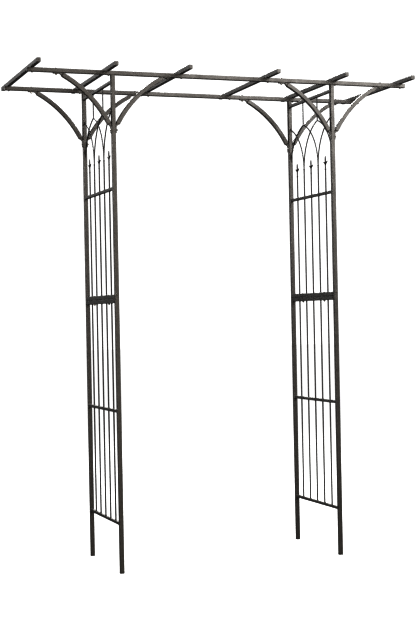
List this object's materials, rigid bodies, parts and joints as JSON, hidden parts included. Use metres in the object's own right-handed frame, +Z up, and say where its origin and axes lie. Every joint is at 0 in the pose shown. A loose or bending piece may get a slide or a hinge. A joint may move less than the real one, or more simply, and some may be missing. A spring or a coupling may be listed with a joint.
{
  "type": "metal trellis arch",
  "caption": "Garden arch of dark coated square tube: two trellis side panels with pointed tracery and spear finials, long rails on curved braces, and cross rafters.",
  "frame": {"origin": "on the ground, in the middle of the walkway, at the centre of the arch's outline seen from above", "axes": "+Z up; +X along the two long rails, from the left trellis to the right one; +Y through the walkway, from the front posts to the back posts"},
  "size_m": [1.684, 0.696, 2.06],
  "materials": {
    "frame_coat": "satin dark bronze powder coat with a fine orange-peel skin",
    "rod_coat": "satin near-black bronze powder coat",
    "bolt_steel": "blackened zinc, slightly glossy",
    "zinc_steel": "bright zinc-plated tube, hidden inside the frame",
    "black_plastic": "matte moulded plastic"
  },
  "bodies": {
    "root": {"front_left_lower_post": "frame_coat", "front_left_upper_post": "frame_coat", "front_left_post_connector": "zinc_steel", "front_left_foot_cap": "black_plastic", "front_left_post_screw": "bolt_steel", "front_left_brace_foot_bolt": "bolt_steel", "front_left_inner_brace": "frame_coat", "front_left_inner_brace_bolt": "bolt_steel", "front_left_outer_brace": "frame_coat", "front_left_outer_brace_bolt": "bolt_steel", "back_left_lower_post": "frame_coat", "back_left_upper_post": "frame_coat", "back_left_post_connector": "zinc_steel", "back_left_foot_cap": "black_plastic", "back_left_post_screw": "bolt_steel", "back_left_brace_foot_bolt": "bolt_steel", "back_left_inner_brace": "frame_coat", "back_left_inner_brace_bolt": "bolt_steel", "back_left_outer_brace": "frame_coat", "back_left_outer_brace_bolt": "bolt_steel", "left_lower_grille": "rod_coat", "left_upper_grille": "rod_coat", "left_front_bar_bolt": "bolt_steel", "left_back_bar_bolt": "bolt_steel", "front_right_lower_post": "frame_coat", "front_right_upper_post": "frame_coat", "front_right_post_connector": "zinc_steel", "front_right_foot_cap": "black_plastic", "front_right_post_screw": "bolt_steel", "front_right_brace_foot_bolt": "bolt_steel", "front_right_inner_brace": "frame_coat", "front_right_inner_brace_bolt": "bolt_steel", "front_right_outer_brace": "frame_coat", "front_right_outer_brace_bolt": "bolt_steel", "back_right_lower_post": "frame_coat", "back_right_upper_post": "frame_coat", "back_right_post_connector": "zinc_steel", "back_right_foot_cap": "black_plastic", "back_right_post_screw": "bolt_steel", "back_right_brace_foot_bolt": "bolt_steel", "back_right_inner_brace": "frame_coat", "back_right_inner_brace_bolt": "bolt_steel", "back_right_outer_brace": "frame_coat", "back_right_outer_brace_bolt": "bolt_steel", "right_lower_grille": "rod_coat", "right_upper_grille": "rod_coat", "right_front_bar_bolt": "bolt_steel", "right_back_bar_bolt": "bolt_steel", "front_rail_left": "frame_coat", "front_rail_right": "frame_coat", "front_rail_connector": "zinc_steel", "back_rail_left": "frame_coat", "back_rail_right": "frame_coat", "back_rail_connector": "zinc_steel", "rafter_1": "frame_coat", "rafter_2": "frame_coat", "rafter_3": "frame_coat", "rafter_4": "frame_coat", "rafter_5": "frame_coat", "rafter_6": "frame_coat"}
  },
  "joints": []
}
